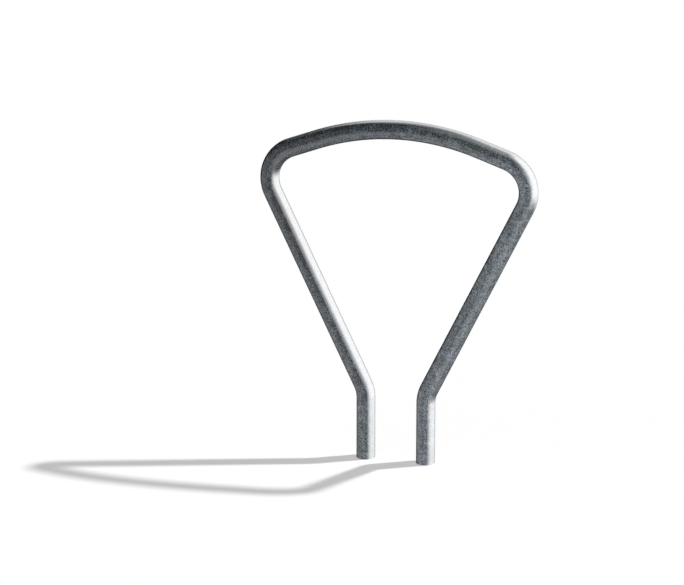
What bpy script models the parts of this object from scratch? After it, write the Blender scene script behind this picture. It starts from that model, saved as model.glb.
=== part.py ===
"""Root-fixed bicycle rack, a hoop of bent galvanised tube with an anchor bar through each root.

Metres, +Z up. The hoop stands in the XZ plane. The origin lies on the ground line, midway
between the legs, so everything below z = 0 is cast into the ground.

The tube follows the schedule of a tube bender, from the crown's middle down to each root:
a wide rolled arc, a short straight, the shoulder bend, the long flare, the knee bend, and a
straight leg that runs on below the ground. Both halves of the hoop are bent alike.
"""

import math

import bmesh
import bpy
from mathutils import Matrix

# Driving dimensions of the tube
tube_diameter = 0.0483
tube_wall = 0.0032
leg_spacing = 0.160             # between the legs' centre lines
leg_height = 0.160              # straight leg, from the ground line to the knee bend
root_depth = 0.250              # straight leg below the ground line
bend_radius = 0.085             # centre line of the knee and shoulder bends
flare_angle = math.radians(26.3)    # lean of the flare out from the vertical
flare_length = 0.541            # straight tube between the knee and the shoulder
crown_slope = math.radians(19.3)    # slope of the crown where it leaves the shoulder
crown_run = 0.073               # straight tube between the shoulder and the crown's arc

# Driving dimensions of the anchor bars, ribbed bars of 12 mm nominal size
bar_core_diameter = 0.0114
bar_length = 0.180
bar_height = 0.050              # from the leg's cut end up to the bar's centre line
bar_clearance = 0.0003          # all round, between the bar's ribs and its hole
rib_height = 0.0008
rib_pitch = 0.0075
rib_width = 0.0034              # at its foot
rib_crest = 0.0010              # at its top
rib_lean = math.radians(28.0)   # of each rib's plane away from square to the bar
bar_plain_end = 0.0020          # between the bar's cut end and its first rib

# Facets
tube_sides = 32
bar_sides = 12
hole_sides = 32
bend_step = math.radians(5.0)
crown_step = math.radians(3.0)
smooth_angle = math.radians(40.0)
weld_distance = 0.00001


def start_clean():
    """Remove the scene's objects and return collections for the parts and for the cutters."""
    for old in list(bpy.data.objects):
        bpy.data.objects.remove(old, do_unlink=True)
    groups = []
    for name in ("bicycle_rack", "cutters"):
        group = bpy.data.collections.new(name)
        bpy.context.scene.collection.children.link(group)
        groups.append(group)
    return groups


def steel(name, colour, roughness, metallic):
    """Make a plain metal material."""
    material = bpy.data.materials.new(name)
    material.use_nodes = True
    shader = material.node_tree.nodes["Principled BSDF"]
    shader.inputs["Base Color"].default_value = (*colour, 1.0)
    shader.inputs["Roughness"].default_value = roughness
    shader.inputs["Metallic"].default_value = metallic
    return material


def straight(path, heading, length):
    """Carry the path on by one straight run, with its heading in radians up from +X."""
    x, z = path[-1]
    path.append((x + length * math.cos(heading), z + length * math.sin(heading)))


def bend(path, heading, turn, radius, step):
    """Carry the path round one bend and return the new heading. A positive turn goes left."""
    x, z = path[-1]
    side = math.copysign(radius, turn)
    centre_x = x - side * math.sin(heading)
    centre_z = z + side * math.cos(heading)
    count = max(1, math.ceil(abs(turn) / step))
    for index in range(1, count + 1):
        angle = heading + turn * index / count
        path.append((centre_x + side * math.sin(angle), centre_z - side * math.cos(angle)))
    return heading + turn


def hoop_centre_line():
    """Return the hoop's centre line as (x, z) points, from the left root to the right one."""
    right = [(leg_spacing / 2, -root_depth)]
    upright = math.pi / 2
    straight(right, upright, root_depth + leg_height)
    heading = bend(right, upright, -flare_angle, bend_radius, bend_step)
    straight(right, heading, flare_length)
    shoulder_turn = math.pi - crown_slope - heading
    heading = bend(right, heading, shoulder_turn, bend_radius, bend_step)
    straight(right, heading, crown_run)
    crown_radius = right[-1][0] / math.sin(crown_slope)
    bend(right, heading, crown_slope, crown_radius, crown_step)
    left = [(-x, z) for x, z in right]
    line = left[:-1] + right[::-1]
    cut_length = sum(math.dist(near, far) for near, far in zip(line, line[1:]))
    print(f"crown radius {crown_radius * 1000:.0f} mm, tube cut length {cut_length * 1000:.0f} mm")
    return line


def swept_mesh(name, points, depth, sides, filled, scales=None):
    """Sweep a round section of radius depth along the points and return the mesh."""
    data = bpy.data.curves.new(name, "CURVE")
    data.dimensions = "3D"
    data.bevel_depth = depth
    data.bevel_resolution = sides // 2 - 2
    data.use_fill_caps = filled
    spline = data.splines.new("POLY")
    spline.points.add(len(points) - 1)
    for index, (x, y, z) in enumerate(points):
        spline.points[index].co = (x, y, z, 1.0)
        spline.points[index].radius = scales[index] if scales else 1.0
    guide = bpy.data.objects.new(name, data)
    bpy.context.scene.collection.objects.link(guide)
    bpy.context.view_layer.update()
    evaluated = guide.evaluated_get(bpy.context.evaluated_depsgraph_get())
    mesh = bpy.data.meshes.new_from_object(evaluated)
    bpy.data.objects.remove(guide, do_unlink=True)
    bpy.data.curves.remove(data)
    mesh.name = name
    work = bmesh.new()
    work.from_mesh(mesh)
    bmesh.ops.remove_doubles(work, verts=work.verts, dist=weld_distance)
    bmesh.ops.recalc_face_normals(work, faces=work.faces)
    work.to_mesh(mesh)
    work.free()
    return mesh


def place(name, mesh, group, parent, material=None):
    """Put a mesh into the scene as an object under the given parent."""
    if material:
        mesh.materials.clear()
        mesh.materials.append(material)
    part = bpy.data.objects.new(name, mesh)
    part.parent = parent
    group.objects.link(part)
    return part


def shade_round(mesh):
    """Shade the round faces smooth and keep the cut edges sharp."""
    mesh.shade_smooth()
    mesh.set_sharp_from_angle(angle=smooth_angle)


def bar_hole_cutter(name, location, group, parent):
    """Make the drill that opens both walls of one root, along Y."""
    radius = bar_core_diameter / 2 + rib_height + bar_clearance
    drill_length = 2 * tube_diameter
    mesh = bpy.data.meshes.new(name)
    work = bmesh.new()
    bmesh.ops.create_cone(
        work, cap_ends=True, segments=hole_sides, radius1=radius, radius2=radius,
        depth=drill_length, matrix=Matrix.Rotation(math.pi / 2, 4, "X"))
    work.to_mesh(mesh)
    work.free()
    cutter = place(name, mesh, group, parent)
    cutter.location = location
    cutter.hide_render = True
    cutter.display_type = "WIRE"
    return cutter


def make_hoop(group, cutter_group, parent, material):
    """Bend the tube, give it its wall and drill the roots for the anchor bars."""
    points = [(x, 0.0, z) for x, z in hoop_centre_line()]
    mesh = swept_mesh("hoop_tube", points, tube_diameter / 2, tube_sides, filled=False)
    hoop = place("hoop_tube", mesh, group, parent, material)
    wall = hoop.modifiers.new("tube_wall", "SOLIDIFY")
    wall.thickness = tube_wall
    wall.offset = -1.0
    wall.use_even_offset = True
    for side, location in root_sides():
        hole = hoop.modifiers.new(side + "_bar_hole", "BOOLEAN")
        hole.operation = "DIFFERENCE"
        hole.solver = "EXACT"
        hole.object = bar_hole_cutter(side + "_bar_drill", location, cutter_group, parent)
    shade_round(mesh)
    hoop.modifiers.new("even_shading", "WEIGHTED_NORMAL")
    return hoop


def root_sides():
    """Name each root and give its anchor bar's middle."""
    bar_z = bar_height - root_depth
    return (("left", (-leg_spacing / 2, 0.0, bar_z)), ("right", (leg_spacing / 2, 0.0, bar_z)))


def ribbed_bar_mesh():
    """Roll a ribbed bar along Y, with two rows of leaning crescent ribs and two long ridges."""
    core = bar_core_diameter / 2
    half = bar_length / 2
    lean_reach = (core + rib_height) * math.tan(rib_lean)
    ribbed = bar_length - 2 * (bar_plain_end + lean_reach) - rib_width
    rib_count = int(ribbed // rib_pitch) + 1
    first_rib = -(rib_count - 1) * rib_pitch / 2
    stations = [(-half, 0.0)]
    for index in range(rib_count):
        middle = first_rib + index * rib_pitch
        stations.append((middle - rib_width / 2, 0.0))
        stations.append((middle - rib_crest / 2, rib_height))
        stations.append((middle + rib_crest / 2, rib_height))
        stations.append((middle + rib_width / 2, 0.0))
    stations.append((half, 0.0))
    points = [(0.0, y, 0.0) for y, rise in stations]
    scales = [(core + rise) / core for y, rise in stations]
    mesh = swept_mesh("anchor_bar", points, core, bar_sides, filled=True, scales=scales)
    work = bmesh.new()
    work.from_mesh(mesh)
    for vert in work.verts:
        x, y, z = vert.co
        radius = math.hypot(x, z)
        # A rib is full at the bar's sides, at +X and -X, and fades towards the ridges.
        new_radius = core + (radius - core) * abs(x) / radius
        # The ridges run along the bar at +Z and -Z.
        if abs(z) / radius > math.cos(math.pi / bar_sides):
            new_radius = core + rib_height
        vert.co.x = x * new_radius / radius
        vert.co.z = z * new_radius / radius
        # The cut ends stay square.
        if abs(y) < half - bar_plain_end / 2:
            vert.co.y = y + vert.co.z * math.tan(rib_lean)
    work.to_mesh(mesh)
    work.free()
    shade_round(mesh)
    return mesh


def make_anchor_bars(group, parent, material):
    """Push one ribbed bar through each root."""
    mesh = ribbed_bar_mesh()
    for side, location in root_sides():
        bar = place(side + "_anchor_bar", mesh, group, parent, material)
        bar.location = location


def main():
    parts, cutters = start_clean()
    ground_line = bpy.data.objects.new("ground_line", None)
    parts.objects.link(ground_line)
    tube_steel = steel("galvanised_tube", (0.155, 0.175, 0.185), 0.42, 0.9)
    bar_steel = steel("galvanised_bar", (0.19, 0.20, 0.21), 0.5, 0.9)
    make_hoop(parts, cutters, ground_line, tube_steel)
    make_anchor_bars(parts, ground_line, bar_steel)
    bpy.context.view_layer.update()


main()
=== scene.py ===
# %% [markdown]
# This rack is one length of galvanised steel tube, bent into a hoop and cast into the
# ground by its two legs, with a ribbed anchor bar through each buried end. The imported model
# already holds its shape. This notebook bends a finer tube on the same sizes, rolls finer
# bars, gives both a hot-dip galvanised finish, and sets up the studio.
# The model is loaded first, because every piece is placed by it.

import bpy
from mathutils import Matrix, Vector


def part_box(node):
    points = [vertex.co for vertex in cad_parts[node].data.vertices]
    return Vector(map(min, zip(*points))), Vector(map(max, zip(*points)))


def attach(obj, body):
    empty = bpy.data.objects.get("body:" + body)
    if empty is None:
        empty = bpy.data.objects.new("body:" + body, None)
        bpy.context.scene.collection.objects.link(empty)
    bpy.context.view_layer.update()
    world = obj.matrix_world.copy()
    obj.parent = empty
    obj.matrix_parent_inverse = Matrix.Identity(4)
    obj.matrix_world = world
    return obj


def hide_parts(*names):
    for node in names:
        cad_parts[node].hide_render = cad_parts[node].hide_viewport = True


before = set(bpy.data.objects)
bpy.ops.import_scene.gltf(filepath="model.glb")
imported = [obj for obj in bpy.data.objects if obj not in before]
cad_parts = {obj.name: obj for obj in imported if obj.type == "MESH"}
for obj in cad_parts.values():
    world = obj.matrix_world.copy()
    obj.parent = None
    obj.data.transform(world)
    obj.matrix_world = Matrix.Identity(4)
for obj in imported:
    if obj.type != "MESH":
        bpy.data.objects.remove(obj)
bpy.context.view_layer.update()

# %% Modules
import math

import bmesh
import bpy
from mathutils import Matrix, Vector

# %% [markdown]
# A tube is ordered by its outside diameter and wall, and bent by a schedule: feed so much
# tube, then turn it so far round a die. The model gives the outside diameter, the legs'
# spacing and the depth of the roots. The rest of the schedule is named here, once.

# %% Sizes of the tube
tube_low, tube_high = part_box("hoop_tube")
bar_low, bar_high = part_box("right_anchor_bar")
tube_radius = (tube_high.y - tube_low.y) / 2
leg_x = (bar_low.x + bar_high.x) / 2
root_depth = -tube_low.z
tube_wall = 0.0032
leg_height = 0.160
bend_radius = 0.085
flare_angle = math.radians(26.3)
flare_length = 0.541
crown_slope = math.radians(19.3)
crown_run = 0.073
print(f"tube {tube_radius * 2000:.1f} mm across, legs {leg_x * 2000:.0f} mm apart")

# %% [markdown]
# The crown is rolled to a wide arc, and the other bends are made on one die. Its radius
# isn't free, because both halves have to meet in the middle. Adding up how far sideways
# each feed and bend carries the tube gives where the arc starts, and so its radius.

# %% The crown's radius
knee_shift = bend_radius * (1 - math.cos(flare_angle))
flare_shift = flare_length * math.sin(flare_angle)
shoulder_shift = bend_radius * (math.sin(crown_slope) - math.cos(flare_angle))
run_shift = -crown_run * math.cos(crown_slope)
crown_reach = leg_x + knee_shift + flare_shift + shoulder_shift + run_shift
crown_radius = crown_reach / math.sin(crown_slope)
print(f"crown radius {crown_radius * 1000:.0f} mm")

# %% [markdown]
# A curve with a bevel would sweep the tube in a few lines, but it spaces its rings by the
# curve's own points. Here the mesh is bent as the machine bends it. The section is a circle
# of edges, a feed extrudes it along its heading, and a bend spins it about the die's centre.
# Each operator hands back the leading ring, which the next one carries on, and the rings
# lie close together in the bends and far apart on the straights.

# %% Picking out what an operator made
def verts_of(items):
    """Return the verts among an operator's results."""
    return [item for item in items if isinstance(item, bmesh.types.BMVert)]


def edges_of(items):
    """Return the edges among an operator's results."""
    return [item for item in items if isinstance(item, bmesh.types.BMEdge)]


def push_ring(mesh, ring, step):
    """Extrude a ring of edges by one step and return the new ring."""
    made = bmesh.ops.extrude_edge_only(mesh, edges=ring)["geom"]
    leading = set(verts_of(made))
    bmesh.ops.translate(mesh, verts=list(leading), vec=step)
    return [edge for edge in edges_of(made) if leading.issuperset(edge.verts)]


# %% A tube bender
ring_sides = 96
feed_step = 0.030
bend_step = math.radians(2.0)
crown_step = math.radians(1.0)


class TubeBender:
    """Feeds and bends one tube in the XZ plane, with its heading in radians up from +X."""

    def __init__(self, mesh, place, heading):
        self.mesh = mesh
        self.place = Vector(place)
        self.heading = heading
        self.fed = 0.0
        bmesh.ops.create_circle(
            mesh, segments=ring_sides, radius=tube_radius, matrix=Matrix.Translation(place))
        self.ring = mesh.edges[:]

    def feed(self, length):
        """Push the tube on along its heading."""
        travel = Vector((math.cos(self.heading), 0, math.sin(self.heading))) * length
        count = max(1, round(length / feed_step))
        for _ in range(count):
            self.ring = push_ring(self.mesh, self.ring, travel / count)
        self.place += travel
        self.fed += length

    def bend(self, turn, radius, step=bend_step):
        """Turn left for a positive angle, and right for a negative one."""
        to_left = Vector((-math.sin(self.heading), 0, math.cos(self.heading)))
        centre = self.place + to_left * math.copysign(radius, turn)
        verts = list({vert for edge in self.ring for vert in edge.verts})
        made = bmesh.ops.spin(
            self.mesh, geom=verts + self.ring, cent=centre, axis=(0, -1, 0), angle=turn,
            steps=max(1, round(abs(turn) / step)), use_merge=False)
        self.ring = edges_of(made["geom_last"])
        self.place = centre + Matrix.Rotation(turn, 3, (0, -1, 0)) @ (self.place - centre)
        self.heading += turn
        self.fed += abs(turn) * radius


# %% [markdown]
# The schedule runs from the left root over the crown to the right root. The second half
# reads the first half backwards, so the hoop comes out even.

# %% Bend the hoop
upright = math.pi / 2
shoulder_turn = upright + flare_angle - crown_slope
hoop_mesh = bmesh.new()
bender = TubeBender(hoop_mesh, (-leg_x, 0, -root_depth), upright)
bender.feed(root_depth + leg_height)
bender.bend(flare_angle, bend_radius)
bender.feed(flare_length)
bender.bend(-shoulder_turn, bend_radius)
bender.feed(crown_run)
bender.bend(-2 * crown_slope, crown_radius, crown_step)
bender.feed(crown_run)
bender.bend(-shoulder_turn, bend_radius)
bender.feed(flare_length)
bender.bend(flare_angle, bend_radius)
bender.feed(root_depth + leg_height)
print(f"cut length {bender.fed * 1000:.0f} mm, last end at x {bender.place.x * 1000:.1f} mm")

# %% [markdown]
# The bent skin is given the tube's wall, which grows inwards, so the outside keeps its
# size. The saw leaves sharp rims at both cut ends. A fabricator files them before the tube
# is dipped, and a narrow bevel does the same.

# %% Wall and cut ends
rim_break = 0.0005
rim_angle = math.radians(60)
rim_cuts = 2


def file_rims(mesh, width):
    """Bevel the edges that turn by more than the rim angle, and return their number."""
    rims = [edge for edge in mesh.edges if edge.calc_face_angle(0.0) > rim_angle]
    bmesh.ops.bevel(
        mesh, geom=rims, offset=width, offset_type="OFFSET", segments=rim_cuts,
        profile=0.5, affect="EDGES", material=-1, clamp_overlap=True)
    return len(rims)


bmesh.ops.recalc_face_normals(hoop_mesh, faces=hoop_mesh.faces)
bmesh.ops.solidify(hoop_mesh, geom=hoop_mesh.faces[:], thickness=tube_wall)
print(file_rims(hoop_mesh, rim_break), "rim edges filed,", len(hoop_mesh.faces), "faces")

# %% [markdown]
# A finished piece sits at the origin with its place in its mesh, as the model's own nodes
# do. Round faces are shaded smooth, and edges sharper than a set angle stay crisp.

# %% A finished piece from a bmesh
crisp_angle = math.radians(35)


def shade(mesh):
    """Shade a mesh smooth between its crisp edges."""
    mesh.shade_smooth()
    mesh.set_sharp_from_angle(angle=crisp_angle)


def make_piece(name, mesh):
    """Turn a bmesh into an object at the origin."""
    data = bpy.data.meshes.new(name)
    mesh.to_mesh(data)
    mesh.free()
    shade(data)
    piece = bpy.data.objects.new(name, data)
    bpy.context.scene.collection.objects.link(piece)
    print(name, len(data.polygons), "faces")
    return piece


hoop = make_piece("hoop", hoop_mesh)

# %% [markdown]
# Each root is drilled through for its anchor bar. A Boolean cuts a clean round hole through
# both walls at once, where cutting faces by hand would leave ragged edges. The drills are
# taken away as soon as the cut is applied, so only the drilled tube is left.

# %% Drill the roots
bar_radius = (bar_high.x - bar_low.x) / 2
bar_z = (bar_low.z + bar_high.z) / 2
bar_places = [Vector((side * leg_x, 0, bar_z)) for side in (-1, 1)]
bar_clearance = 0.0003
hole_sides = 64
drill_reach = 4 * tube_radius


def drill(piece, places, radius):
    """Cut a round hole along Y through the piece at each place."""
    drills = bmesh.new()
    for place in places:
        bmesh.ops.create_cone(
            drills, cap_ends=True, segments=hole_sides, radius1=radius, radius2=radius,
            depth=drill_reach,
            matrix=Matrix.Translation(place) @ Matrix.Rotation(upright, 4, "X"))
    cutter = make_piece("drills", drills)
    cut = piece.modifiers.new("bar_holes", "BOOLEAN")
    cut.operation = "DIFFERENCE"
    cut.solver = "EXACT"
    cut.object = cutter
    evaluated = piece.evaluated_get(bpy.context.evaluated_depsgraph_get())
    drilled = bpy.data.meshes.new_from_object(evaluated)
    piece.modifiers.clear()
    piece.data = drilled
    bpy.data.objects.remove(cutter, do_unlink=True)
    shade(drilled)


drill(hoop, bar_places, bar_radius + bar_clearance)
print("drilled hoop", len(hoop.data.polygons), "faces")

# %% [markdown]
# Anchor bars are cut from ribbed reinforcing bar. It is rolled with leaning crescent ribs
# on two sides and a plain ridge above and below. The bar starts as a round blank, pushed
# out in short steps. Each point then moves out by the height of the rib or ridge over it,
# and at last the rows are sheared along the bar, which makes the ribs lean.

# %% How high the rolls press the bar
rib_height = 0.0008
rib_pitch = 0.0075
rib_width = 0.0034
rib_crest = 0.0010
rib_lean = math.radians(28.0)
ridge_width = math.radians(32.0)
ridge_crest = math.radians(12.0)
plain_end = 0.0020
bar_half = (bar_high.y - bar_low.y) / 2
ribs_each_way = int((bar_half - plain_end - bar_radius * math.tan(rib_lean)) // rib_pitch)
ribbed_half = ribs_each_way * rib_pitch + rib_width / 2


def slope(distance, foot, crest):
    """Rise smoothly from 0 at the foot's half width to 1 at the crest's half width."""
    share = min(max((foot / 2 - distance) / ((foot - crest) / 2), 0.0), 1.0)
    return share * share * (3 - 2 * share)


def rolled_rise(y, angle):
    """Return how far the skin stands out, at y along the bar and an angle up from +X."""
    from_rib = abs((y / rib_pitch + 0.5) % 1.0 - 0.5) * rib_pitch
    rib = slope(from_rib, rib_width, rib_crest) * abs(math.cos(angle))
    ridge = slope(abs(abs(angle) - upright), ridge_width, ridge_crest)
    ribbed = rib if abs(y) < ribbed_half else 0.0
    return rib_height * max(ribbed, ridge)


print("ribs on each side", 2 * ribs_each_way + 1)

# %% Roll the anchor bars
bar_sides = 64
bar_step = 0.0006
crop_break = 0.0004
shortest_edge = 0.000002


def bar_blank():
    """Push a round blank along Y, closed at both ends."""
    mesh = bmesh.new()
    count = round(2 * bar_half / bar_step)
    start = Matrix.Translation((0, -bar_half, 0)) @ Matrix.Rotation(upright, 4, "X")
    bmesh.ops.create_circle(
        mesh, segments=bar_sides, radius=bar_radius - rib_height, matrix=start)
    ring = mesh.edges[:]
    for _ in range(count):
        ring = push_ring(mesh, ring, Vector((0, 2 * bar_half / count, 0)))
    bmesh.ops.holes_fill(mesh, edges=mesh.edges[:], sides=bar_sides)
    bmesh.ops.recalc_face_normals(mesh, faces=mesh.faces)
    return mesh


def roll_bar(name, place):
    """Press ribs and ridges into a blank and put it in its place."""
    mesh = bar_blank()
    core = bar_radius - rib_height
    for vert in mesh.verts:
        x, y, z = vert.co
        swell = 1 + rolled_rise(y, math.atan2(z, x)) / core
        # The shear dies out beyond the last rib, so the cropped ends stay square.
        share = min(1.0, (bar_half - abs(y)) / (bar_half - ribbed_half))
        vert.co = (x * swell, y + z * swell * math.tan(rib_lean) * share, z * swell)
    # Where a ridge meets a cropped end, the filing leaves edges of next to no length.
    file_rims(mesh, crop_break)
    bmesh.ops.dissolve_degenerate(mesh, dist=shortest_edge, edges=mesh.edges[:])
    bmesh.ops.translate(mesh, verts=mesh.verts[:], vec=place)
    return make_piece(name, mesh)


left_bar = roll_bar("left_ribbed_bar", bar_places[0])
right_bar = roll_bar("right_ribbed_bar", bar_places[1])

# %% [markdown]
# Shader maths is written here as plain arithmetic. A wire stands for one output socket of
# a node, and adding, taking away or multiplying wires adds the Math nodes that the
# expression means. Every other node comes from one method of the bench: its kind, its
# settings, and the values or links of its sockets.

# %% Nodes from arithmetic
class Wire:
    """One output socket of a node, which can be used in an expression."""

    def __init__(self, bench, socket):
        self.bench = bench
        self.socket = socket

    def output(self, name):
        """Return another output of the same node."""
        return Wire(self.bench, self.socket.node.outputs[name])

    def __add__(self, other):
        return self.bench.maths("ADD", self, other)

    def __sub__(self, other):
        return self.bench.maths("SUBTRACT", self, other)

    def __rsub__(self, other):
        return self.bench.maths("SUBTRACT", other, self)

    def __mul__(self, other):
        return self.bench.maths("MULTIPLY", self, other)

    __radd__ = __add__
    __rmul__ = __mul__


# %% A bench that adds nodes
class Bench:
    """Adds nodes to one node tree."""

    def __init__(self, tree):
        self.tree = tree

    def add(self, kind, settings=None, sockets=None, output=0):
        """Add a node, its settings first and then its sockets, and return one output."""
        node = self.tree.nodes.new(kind)
        for name, value in (settings or {}).items():
            setattr(node, name, value)
        for name, value in (sockets or {}).items():
            self.set(node, name, value)
        return Wire(self, node.outputs[output])

    def set(self, node, name, value):
        """Link a wire to a socket of a node, or write a plain value there."""
        if isinstance(value, Wire):
            self.tree.links.new(value.socket, node.inputs[name])
        else:
            node.inputs[name].default_value = value

    def maths(self, operation, *values):
        """Add a Math node and return its value."""
        return self.add("ShaderNodeMath", {"operation": operation}, dict(enumerate(values)))

    def vector(self, operation, first, second, output=0):
        """Add a Vector Math node, and return its vector unless its value is asked for."""
        sockets = {0: first, 1: second}
        return self.add("ShaderNodeVectorMath", {"operation": operation}, sockets, output)

    def smooth(self, value, start, end):
        """Rise smoothly from 0 to 1 while the value goes from start to end."""
        return self.add(
            "ShaderNodeMapRange", {"interpolation_type": "SMOOTHSTEP"},
            {"Value": value, "From Min": start, "From Max": end})

    def band(self, value, low, high, edge):
        """Be 1 between low and high and 0 outside, with soft edges."""
        return self.smooth(value, low - edge, low + edge) * (
            1 - self.smooth(value, high - edge, high + edge))

    def noise(self, place, size, detail=2.0, output="Fac"):
        """Noise whose blotches are about the given size across, in metres."""
        return self.add(
            "ShaderNodeTexNoise", {"noise_dimensions": "3D"},
            {"Vector": place, "Scale": 1 / size, "Detail": detail}, output)

    def mix(self, factor, first, second):
        """Mix two colours."""
        # Each kind of data has its own sockets A, B and Result, so these go by number.
        colour_a, colour_b, result = 6, 7, 2
        return self.add(
            "ShaderNodeMix", {"data_type": "RGBA"},
            {"Factor": factor, colour_a: first, colour_b: second}, result)

    def tint(self, colour, amount):
        """Make a colour lighter or darker by a number."""
        return self.add(
            "ShaderNodeVectorMath", {"operation": "SCALE"}, {0: colour, "Scale": amount})


# %% [markdown]
# Molten zinc freezes on the steel as crystals, the spangle. Each one catches the light its
# own way, so the tube looks mottled, like frost in two greys. A texture of random cells
# stands for them. Its colour sets each crystal's tone, shine and tilt, and a noise drawn out
# along each crystal's own direction gives it the feathered look of zinc.
# A picture of zinc would tile and stretch, but cells in object space wrap round the bends.

# %% One crystal of zinc after another
drift_size = 3.0            # in crystals, as are the next two
drift_reach = 1.2
feather_size = 0.25
feather_draw = (1.0, 1.0, 0.15)
fine_detail = 3.0
mid_grey = (0.5, 0.5, 0.5)


def spangle(bench, place, size):
    """Lay crystals of the given size over the skin.

    Returns each crystal's random colour, the place within it, its feathering, and how far
    away its border is.
    """
    drift = bench.noise(place, drift_size * size, output="Color")
    drift = bench.vector("SUBTRACT", drift, mid_grey)
    warped = bench.vector("ADD", place, bench.tint(drift, drift_reach * size))
    cells = {"Vector": warped, "Scale": 1 / size, "Randomness": 1.0}
    crystal = bench.add("ShaderNodeTexVoronoi", {"feature": "F1"}, cells, "Color")
    within = bench.vector("SUBTRACT", warped, crystal.output("Position"))
    turned = bench.add(
        "ShaderNodeVectorRotate", {"rotation_type": "EULER_XYZ"},
        {"Vector": warped, "Rotation": bench.tint(crystal, 2 * math.pi)})
    drawn_out = bench.vector("MULTIPLY", turned, feather_draw)
    feather = bench.noise(drawn_out, feather_size * size, fine_detail)
    border = bench.add(
        "ShaderNodeTexVoronoi", {"feature": "DISTANCE_TO_EDGE"}, cells, "Distance")
    return crystal, within, feather, border


# %% [markdown]
# The grey of zinc isn't one grey. Each crystal has its own, with a fine grain in it, and
# clouds as wide as a finger lie over them. Lighter veins between some crystals are painted
# glints.
# The whole coat is also painted lighter towards the right and towards the ground, most at the
# foot of the right leg: painted light and shade of how the light falls on the rack. That is
# a share more with each step, like interest, so it is an exponent of the place.

# %% How light the coat is
feather_share = 0.70
grain_share = 0.80
cloud_share = 0.75
# The veins are painted glints: lighter lines along the borders of some crystals.
glint_borders = (0.02, 0.12)
glint_crystals = (0.55, 0.75)
glint_clouds = (0.48, 0.60)
painted_glint_light = 0.9
# Painted light: the coat is made lighter towards the right and towards the ground.
painted_light_way = (1.45, 0.0, -0.62)
painted_light_start = 0.43


def around(value, share):
    """Turn a value from 0 to 1 into a factor from 1 - share to 1 + share."""
    return 1 + share * (2 * value - 1)


def coat_tone_and_painted_light(bench, place, chance, crystal_share, feather, border, grain, cloud):
    """Return the factor by which the coat is lighter or darker at each place, with its
    painted glints and painted light.
    """
    tone = around(chance, crystal_share) * around(feather, feather_share)
    tone = tone * around(grain, grain_share) * around(cloud, cloud_share)
    # Painted glints: lighter lines along the borders of some crystals.
    painted_glint = (1 - bench.smooth(border, *glint_borders)) * bench.smooth(chance, *glint_crystals)
    tone = tone + painted_glint_light * painted_glint * bench.smooth(cloud, *glint_clouds)
    # Painted light and shade: lighter towards the foot of the right leg, darker up on the
    # left.
    painted_light = bench.vector("DOT_PRODUCT", place, painted_light_way, "Value")
    return tone * bench.maths("EXPONENT", painted_light + painted_light_start)


# How much lighter the painted light makes the right foot than the left.
foot_painted_light = math.exp(2 * leg_x * painted_light_way[0])
print(f"the right foot's coat is {foot_painted_light:.2f} times as light as the left foot's")

# %% [markdown]
# Out of doors a dull grey crust grows over the bright metal, green in some patches and violet
# in others, and a few crystals stay bare. That is made as two shaders and a mix. The crust
# scatters light, and carries the mottle in its colour, under a smooth white reflection that
# hides it where a lamp is seen. The bare metal only reflects. It also takes over where the
# skin is seen at a glancing angle, which keeps a grey line along the tube's outline, where a
# crust alone would flare up white. One shader with a varying Metallic would be shorter, but
# its reflection would take the mottle of the crust's colour.

# %% Galvanised finish
grain_size = 0.0016
cloud_size = 0.018
patch_size = 0.11
patch_edges = (0.40, 0.60)
green_grey = (0.085, 0.107, 0.118, 1)
violet_grey = (0.087, 0.105, 0.126, 1)
bare_grey = (0.310, 0.316, 0.320, 1)
rim_grey = (0.75, 0.75, 0.75, 1)
crust_ior = 2.3
shine_change = 0.03
grain_height = 0.00001
cloud_height = 0.0002
grain_pull = 1.5
feather_pull = 0.7
bare_spots = (1.15, 2.05)
rim_edges = (0.50, 0.75)    # 0 is seen head-on and 1 edge-on


def galvanised(name, crystal_size, crystal_share, crystal_tilt, bare_share, roughness):
    """Make a hot-dip galvanised finish with crystals of the given size in metres."""
    material = bpy.data.materials.new(name)
    material.use_nodes = True
    nodes = material.node_tree.nodes
    nodes.remove(nodes["Principled BSDF"])
    bench = Bench(material.node_tree)
    place = bench.add("ShaderNodeTexCoord", output="Object")
    crystal, within, feather, border = spangle(bench, place, crystal_size)
    chance = bench.add("ShaderNodeSeparateColor", None, {"Color": crystal}, "Red")
    grain = bench.noise(place, grain_size, fine_detail)
    cloud = bench.noise(place, cloud_size, fine_detail)
    patch = bench.noise(place, patch_size)

    tone = coat_tone_and_painted_light(
        bench, place, chance.output("Green"), crystal_share, feather, border, grain, cloud)
    colour = bench.mix(bench.smooth(patch, *patch_edges), green_grey, violet_grey)
    shine = roughness + shine_change * (chance.output("Blue") + grain - 1)
    lean = bench.vector("SUBTRACT", crystal, mid_grey)
    facet = bench.vector("DOT_PRODUCT", within, lean, "Value") * crystal_tilt
    height = facet + grain * grain_height + cloud * cloud_height
    bump = bench.add(
        "ShaderNodeBump", None, {"Height": height, "Distance": 1.0, "Strength": 1.0})

    crust = bench.add("ShaderNodeBsdfPrincipled", None, {
        "Base Color": bench.tint(colour, tone), "Roughness": shine, "Normal": bump,
        "IOR": crust_ior, "Specular IOR Level": 1.0})
    metal = bench.add("ShaderNodeBsdfPrincipled", None, {
        "Base Color": bare_grey, "Roughness": shine, "Normal": bump,
        "Metallic": 1.0, "Specular Tint": rim_grey})
    spots = bench.smooth(chance + grain_pull * grain + feather_pull * feather, *bare_spots)
    facing = bench.add("ShaderNodeLayerWeight", None, {"Blend": 0.5}, "Facing")
    covered = (1 - bare_share * spots) * (1 - bench.smooth(facing, *rim_edges))
    surface = bench.add("ShaderNodeMixShader", None, {0: covered, 1: metal, 2: crust})
    bench.set(nodes["Material Output"], "Surface", surface)
    print(name, len(nodes), "nodes")
    return material


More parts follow.
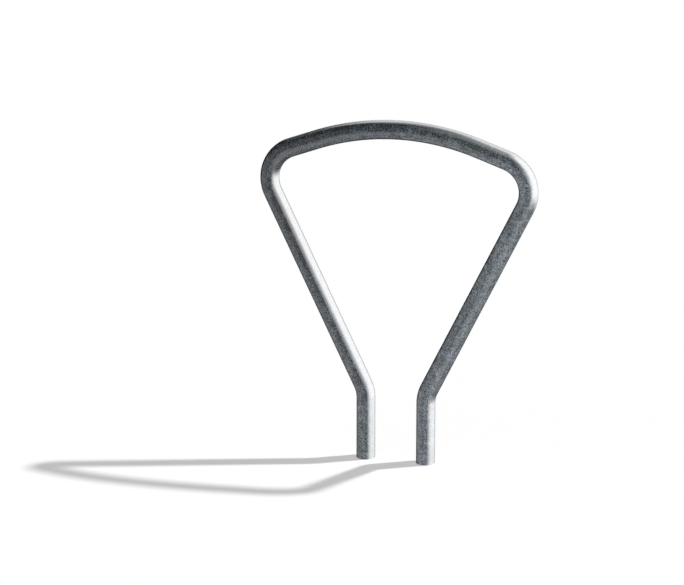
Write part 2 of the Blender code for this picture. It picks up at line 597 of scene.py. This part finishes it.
# %% Zinc for the tube and for the bars
tube_zinc = galvanised(
    "tube_zinc", crystal_size=0.0028, crystal_share=0.75, crystal_tilt=0.008,
    bare_share=0.10, roughness=0.22)
bar_zinc = galvanised(
    "bar_zinc", crystal_size=0.0026, crystal_share=0.40, crystal_tilt=0.040,
    bare_share=0.30, roughness=0.38)

# %% [markdown]
# Each piece takes its finish and its body, and the model's node that it stands for is hidden.
# The pieces are left out of reflections, because each leg would otherwise draw a dark stripe
# down the bright band that the large card on the right, hung further down, gives the other.

# %% Dress the pieces
for piece, node, slot, zinc in (
        (hoop, "hoop_tube", "galvanised_tube", tube_zinc),
        (left_bar, "left_anchor_bar", "galvanised_bar", bar_zinc),
        (right_bar, "right_anchor_bar", "galvanised_bar", bar_zinc)):
    piece.data.materials.clear()
    piece.data.materials.append(zinc)
    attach(piece, "root")
    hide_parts(node)
    piece.visible_glossy = False
    print(piece.name, "stands for", node)

# %% [markdown]
# The studio's floor is a sheet of white paper, so wide that its edge shows from nowhere. It
# lies on a light table, so it glows as well, and lights the rack's dull zinc from below.
# Towards the camera it glows less, just enough to fill the shadow.
# The paper isn't part of the rack, and the dome made next stands for it in reflections.

# %% Paper floor
floor_radius = 60.0
floor_sides = 96
paper_white = 0.95
shadow_fill = 0.28
table_glow = 0.77
glow_colour = (0.97, 0.98, 1.0, 1)

floor_mesh = bmesh.new()
bmesh.ops.create_circle(floor_mesh, cap_ends=True, segments=floor_sides, radius=floor_radius)
floor = make_piece("floor", floor_mesh)
paper = bpy.data.materials.new("floor_paper")
paper.use_nodes = True
bench = Bench(paper.node_tree)
shader = paper.node_tree.nodes["Principled BSDF"]
bench.set(shader, "Base Color", (paper_white, paper_white, paper_white, 1))
bench.set(shader, "Roughness", 1.0)
bench.set(shader, "Specular IOR Level", 0.0)
to_camera = bench.add("ShaderNodeLightPath", output="Is Camera Ray")
glow = shadow_fill * to_camera + table_glow * (1 - to_camera)
bench.set(shader, "Emission Color", glow_colour)
bench.set(shader, "Emission Strength", glow)
# Rays find so wide a glow by themselves, and none has to be aimed at it.
paper.cycles.emission_sampling = "NONE"
floor.data.materials.append(paper)
# The dome stands for the paper in reflections, and the paper has no shadow of its own.
floor.visible_glossy = False
floor.visible_shadow = False

# %% [markdown]
# A shiny tube shows the room around it, so the room is what makes it look like steel. The
# room is a dome, the world, painted by direction: how far round from +X, and how far up, in
# degrees. Cards with soft edges hang in it, as in a product studio. A large bright one on the
# right draws the white bands, and a paler one behind lights the crown's upper edge. Black
# ones in front and on the left draw the dark lines beside them, and pale ones hang low.
# Real cards would also work, but they would show in the other views.

# %% Directions in the dome
world = bpy.data.worlds.new("studio")
bpy.context.scene.world = world
world.use_nodes = True
# As with the paper, no ray has to be aimed at the dome.
world.cycles.sampling_method = "NONE"
bench = Bench(world.node_tree)
direction = bench.add("ShaderNodeTexCoord", output="Generated")
east = bench.add("ShaderNodeSeparateXYZ", None, {"Vector": direction}, "X")
north = east.output("Y")
up = east.output("Z")
elevation = bench.maths("ARCSINE", up) * math.degrees(1)
azimuth = bench.maths("ARCTAN2", north, east) * math.degrees(1)


# %% One card
def card(level, brightness, middle, half_width, low, high, edge, side_edge=None):
    """Hang a card in the dome: a patch of one brightness with soft edges, in degrees.

    Its sides are as soft as its top and bottom, unless a side_edge is given.
    """
    side_edge = side_edge or edge
    aside = bench.maths("ABSOLUTE", bench.maths("WRAP", azimuth - middle, 180, -180))
    across = 1 - bench.smooth(aside, half_width - side_edge, half_width + side_edge)
    mask = across * bench.band(elevation, low, high, edge)
    return level * (1 - mask) + brightness * mask


# %% Hang the cards
past_zenith = 120
past_nadir = -120
dome_level = 0.12
top_light = 0.32
top_edges = (35, 75)

glossy = dome_level + top_light * bench.smooth(elevation, *top_edges)
# Two pale cards hang low, on the left and in front.
glossy = card(
    glossy, brightness=0.20, middle=-175, half_width=40, low=past_nadir, high=4, edge=9)
glossy = card(glossy, brightness=0.34, middle=-68, half_width=40, low=-76, high=-19, edge=12)
# Three black ones hang over the camera's left, level in front, and on the left.
glossy = card(
    glossy, brightness=0.0, middle=-145, half_width=39, low=28, high=past_zenith, edge=8,
    side_edge=4)
glossy = card(
    glossy, brightness=0.01, middle=-94, half_width=24, low=-8, high=43, edge=15, side_edge=8)
glossy = card(glossy, brightness=0.0, middle=-172, half_width=27, low=18, high=68, edge=6)
# A bright one hangs behind, and a black one cuts it short on its left.
glossy = card(glossy, brightness=1.8, middle=104, half_width=40, low=10, high=64, edge=8)
glossy = card(glossy, brightness=0.0, middle=143, half_width=24, low=-12, high=44, edge=6)
# The large bright one stands on the right, and a dimmer one carries its light to the front.
glossy = card(
    glossy, brightness=2.9, middle=20, half_width=56, low=-24, high=70, edge=13, side_edge=30)
glossy = card(glossy, brightness=0.8, middle=-55, half_width=11, low=4, high=24, edge=6)
# A narrow black one darkens the legs beside their white bands.
glossy = card(glossy, brightness=0.0, middle=-64, half_width=9, low=-24, high=-4, edge=7)
print("dome with cards", len(world.node_tree.nodes), "nodes")

# %% [markdown]
# Dull surfaces get an even light from the dome, stronger from the front left than from the
# top. With the paper's glow it comes to about 1 on the sides of the tube, the plain level at
# which a colour renders about as it is written. To the camera the dome is plain white, as it
# is through glass.

# %% Light the dome
even_light = 0.52
side_light = 0.52
light_side = (-0.4, -0.5, -0.75)

sideways = bench.vector("DOT_PRODUCT", direction, light_side, "Value")
dull = even_light + side_light * sideways
to_camera = bench.add("ShaderNodeLightPath", output="Is Camera Ray")
shiny = to_camera.output("Is Glossy Ray")
seen = bench.maths("MAXIMUM", to_camera, to_camera.output("Is Transmission Ray"))
background = world.node_tree.nodes["Background"]
bench.set(background, "Color", (1, 1, 1, 1))
bench.set(background, "Strength", dull * (1 - seen) * (1 - shiny) + seen + glossy * shiny)
print("lit dome", len(world.node_tree.nodes), "nodes")

# %% [markdown]
# One sun lamp casts the long soft shadow. It lights the paper alone, through light linking,
# so that it can be set for the shadow and leaves the tube to the dome. An area lamp would
# also do, but a sun keeps both legs' shadows parallel.

# %% Shadow lamp
lamp_azimuth = math.radians(32.3)
lamp_elevation = math.radians(51.2)
lamp_width = math.radians(2.5)
lamp_strength = 2.05
lamp_colour = (1.0, 0.99, 0.975)


def towards(azimuth, elevation):
    """Unit vector in a direction: azimuth round from +X towards +Y, elevation up."""
    level = math.cos(elevation)
    return Vector((level * math.cos(azimuth), level * math.sin(azimuth), math.sin(elevation)))


lamp_data = bpy.data.lights.new("shadow_lamp", "SUN")
lamp_data.energy = lamp_strength
lamp_data.color = lamp_colour
lamp_data.angle = lamp_width
lamp = bpy.data.objects.new("shadow_lamp", lamp_data)
lamp.rotation_euler = towards(lamp_azimuth, lamp_elevation).to_track_quat("Z", "Y").to_euler()
bpy.context.scene.collection.objects.link(lamp)
lit_by_lamp = bpy.data.collections.new("lit_by_shadow_lamp")
lit_by_lamp.objects.link(floor)
lamp.light_linking.receiver_collection = lit_by_lamp
print(f"the shadow of the crown falls {tube_high.z / math.tan(lamp_elevation):.2f} m away")

# %% [markdown]
# The camera stands in front of the rack, a little to the right of it and a little above, six
# metres away with a long lens. It is aimed level with the middle of the hoop and to the left
# of it, which leaves room for the shadow.

# %% Camera
camera_turn = math.radians(17.90)
camera_elevation = math.radians(14.3)
camera_reach = 6.0
camera_lens = 124.9
camera_sensor = 36
aim_aside = -0.1376
aim_height = 0.4439

camera_data = bpy.data.cameras.new("camera")
camera_data.lens = camera_lens
camera_data.sensor_width = camera_sensor
camera_data.clip_end = 2 * floor_radius
camera = bpy.data.objects.new("camera", camera_data)
away = towards(camera_turn - upright, camera_elevation)
to_right = towards(camera_turn, 0.0)
camera.location = aim_aside * to_right + Vector((0, 0, aim_height)) + camera_reach * away
camera.rotation_euler = away.to_track_quat("Z", "Y").to_euler()
bpy.context.scene.collection.objects.link(camera)
bpy.context.scene.camera = camera
bpy.context.scene.view_settings.view_transform = "Standard"
print("camera at", [round(value, 2) for value in camera.location])
